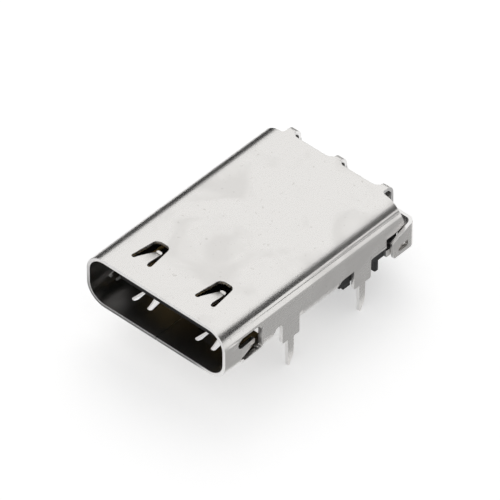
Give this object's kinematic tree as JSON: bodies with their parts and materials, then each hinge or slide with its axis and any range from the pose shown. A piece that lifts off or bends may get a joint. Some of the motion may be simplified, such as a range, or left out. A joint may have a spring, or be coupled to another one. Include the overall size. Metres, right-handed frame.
{
  "type": "usb-c socket",
  "caption": "Board-mounted socket for a reversible oval plug: folded steel shell with springs, legs and a rear cover round a black moulding with a flat tongue and two rows of contacts.",
  "frame": {"origin": "middle of the mouth, in the plane of the shell's rim", "axes": "+Y runs into the socket away from the plug, +X to the right as the plug sees it, +Z away from the circuit board"},
  "size_m": [0.0092, 0.0134, 0.0048],
  "materials": {
    "shell_steel": "satin nickel plate over stamped steel sheet",
    "plate_steel": "bare stamped stainless sheet",
    "black_plastic": "matte glass-filled moulding",
    "gilded_contact": "gold-plated copper alloy strip"
  },
  "bodies": {
    "root": {"shell": "shell_steel", "housing": "black_plastic", "upper_carrier": "black_plastic", "lower_carrier": "black_plastic", "latch_plate": "plate_steel", "upper_ground_collar": "plate_steel", "lower_ground_collar": "plate_steel", "upper_contact_1": "gilded_contact", "upper_contact_2": "gilded_contact", "upper_contact_3": "gilded_contact", "upper_contact_4": "gilded_contact", "upper_contact_5": "gilded_contact", "upper_contact_6": "gilded_contact", "upper_contact_7": "gilded_contact", "upper_contact_8": "gilded_contact", "upper_contact_9": "gilded_contact", "upper_contact_10": "gilded_contact", "upper_contact_11": "gilded_contact", "upper_contact_12": "gilded_contact", "lower_contact_1": "gilded_contact", "lower_contact_2": "gilded_contact", "lower_contact_3": "gilded_contact", "lower_contact_4": "gilded_contact", "lower_contact_5": "gilded_contact", "lower_contact_6": "gilded_contact", "lower_contact_7": "gilded_contact", "lower_contact_8": "gilded_contact", "lower_contact_9": "gilded_contact", "lower_contact_10": "gilded_contact", "lower_contact_11": "gilded_contact", "lower_contact_12": "gilded_contact"}
  },
  "joints": []
}
